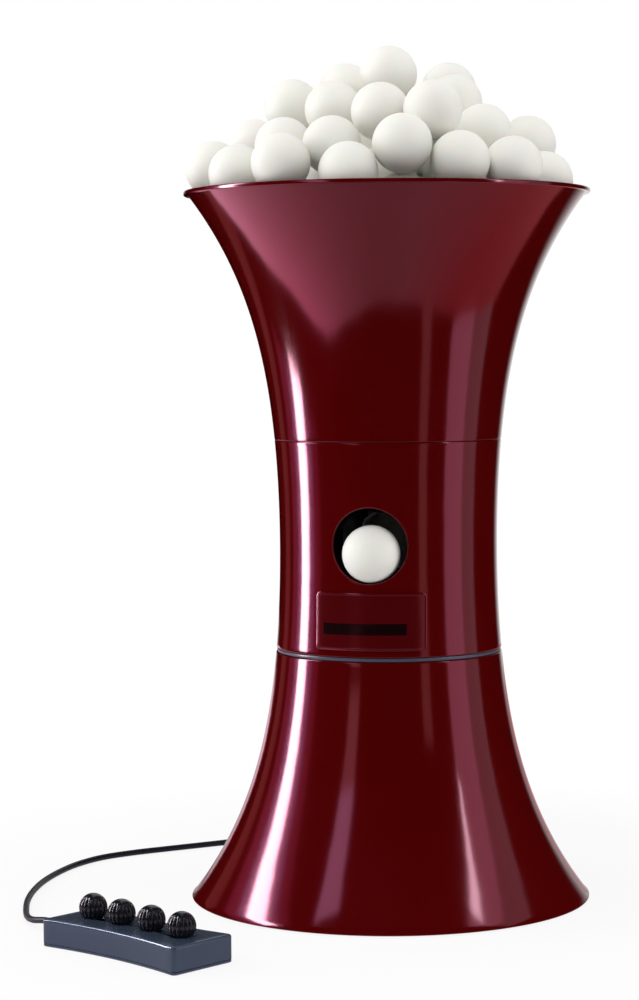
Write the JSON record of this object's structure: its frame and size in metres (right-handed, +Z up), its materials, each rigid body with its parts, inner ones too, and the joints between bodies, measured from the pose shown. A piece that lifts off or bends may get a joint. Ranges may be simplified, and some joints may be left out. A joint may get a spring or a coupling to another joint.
{
  "type": "table tennis robot",
  "caption": "Waisted tower that holds table tennis balls and throws them from a round outlet, with a swivelling head and a wired control box.",
  "frame": {"origin": "on the table, at the tower's vertical axis", "axes": "+Z up, -Y the way the ball outlet looks, +X to the right of the outlet seen from the front"},
  "size_m": [0.3992, 0.5125, 0.6008],
  "materials": {
    "red_shell": "deep glossy maroon moulded plastic",
    "label": "glossy maroon plate, bare",
    "black_plastic": "satin black moulded plastic",
    "box_plastic": "semi-gloss graphite plastic",
    "knob_black": "glossy black ribbed plastic",
    "cable_black": "black cable sheath",
    "rubber": "black rubber",
    "steel": "plain steel",
    "white_plastic": "off-white moulded plastic",
    "ball_white": "matt off-white celluloid-like ball",
    "board_green": "green circuit board",
    "tyre_foam": "dark grey foam rubber"
  },
  "bodies": {
    "base": {"base_shell": "red_shell", "base_plate": "steel", "base_pad": "rubber", "base_deck": "black_plastic", "glide_ring": "black_plastic", "swivel_bush": "white_plastic", "swivel_bracket": "steel", "swivel_gearbox": "steel", "swivel_motor": "steel", "control_board": "board_green", "power_socket": "black_plastic", "cable_gland": "black_plastic", "base_screw_1": "steel", "base_screw_2": "steel", "base_screw_3": "steel", "cable_tail": "cable_black", "cable_coil": "cable_black", "coil_tie": "rubber", "cable_run": "cable_black", "box_top_case": "box_plastic", "box_cover": "box_plastic", "dial_board": "board_green", "box_cable_relief": "black_plastic"},
    "swivel_drive": {"swivel_pinion": "white_plastic", "swivel_motor_shaft": "steel"},
    "head": {"mid_shell": "red_shell", "head_floor": "black_plastic", "swivel_spindle": "steel", "swivel_sector": "white_plastic", "spindle_clip": "steel", "right_side_plate": "steel", "left_side_plate": "steel", "outlet_nozzle": "black_plastic", "ball_chute": "white_plastic", "label_plate": "label", "upper_motor": "steel", "lower_motor": "steel", "hopper_shell": "red_shell", "hopper_floor": "black_plastic", "hopper_funnel": "black_plastic", "feed_gearbox": "steel", "feed_motor": "steel", "outlet_ball": "ball_white", "ball_heap": "ball_white"},
    "feed": {"feed_disc": "white_plastic", "feed_shaft": "steel"},
    "upper_wheel": {"upper_wheel_hub": "white_plastic", "upper_wheel_tyre": "tyre_foam", "upper_wheel_shaft": "steel"},
    "lower_wheel": {"lower_wheel_hub": "white_plastic", "lower_wheel_tyre": "tyre_foam", "lower_wheel_shaft": "steel"},
    "dial_1": {"knob_1": "knob_black", "dial_shaft_1": "steel"},
    "dial_2": {"knob_2": "knob_black", "dial_shaft_2": "steel"},
    "dial_3": {"knob_3": "knob_black", "dial_shaft_3": "steel"},
    "dial_4": {"knob_4": "knob_black", "dial_shaft_4": "steel"}
  },
  "joints": [
    {"name": "head_swivel", "type": "hinge", "parent": "base", "child": "head", "pos_m": [0, 0, 0.178], "axis": [0, 0, 1], "range_deg": [-15, 15]},
    {"name": "swivel_drive_turn", "type": "hinge", "parent": "base", "child": "swivel_drive", "pos_m": [0, 0.0525, 0.155], "axis": [0, 0, 1], "range_deg": [-60, 60]},
    {"name": "feed_turn", "type": "hinge", "parent": "head", "child": "feed", "pos_m": [0, 0, 0.43], "axis": [0, 0, 1], "continuous": true},
    {"name": "upper_wheel_spin", "type": "hinge", "parent": "head", "child": "upper_wheel", "pos_m": [0, -0.018, 0.2975], "axis": [1, 0, 0], "continuous": true},
    {"name": "lower_wheel_spin", "type": "hinge", "parent": "head", "child": "lower_wheel", "pos_m": [0, -0.018, 0.2115], "axis": [1, 0, 0], "continuous": true},
    {"name": "dial_1_turn", "type": "hinge", "parent": "base", "child": "dial_1", "pos_m": [-0.16414, -0.19147, 0.025], "axis": [0, 0, 1], "range_deg": [-150, 150]},
    {"name": "dial_2_turn", "type": "hinge", "parent": "base", "child": "dial_2", "pos_m": [-0.14095, -0.20595, 0.025], "axis": [0, 0, 1], "range_deg": [-150, 150]},
    {"name": "dial_3_turn", "type": "hinge", "parent": "base", "child": "dial_3", "pos_m": [-0.11691, -0.22098, 0.025], "axis": [0, 0, 1], "range_deg": [-150, 150]},
    {"name": "dial_4_turn", "type": "hinge", "parent": "base", "child": "dial_4", "pos_m": [-0.09287, -0.236, 0.025], "axis": [0, 0, 1], "range_deg": [-150, 150]}
  ],
  "couplings": [
    {"joint": "swivel_drive_turn", "follows": "head_swivel", "ratio": -4}
  ]
}
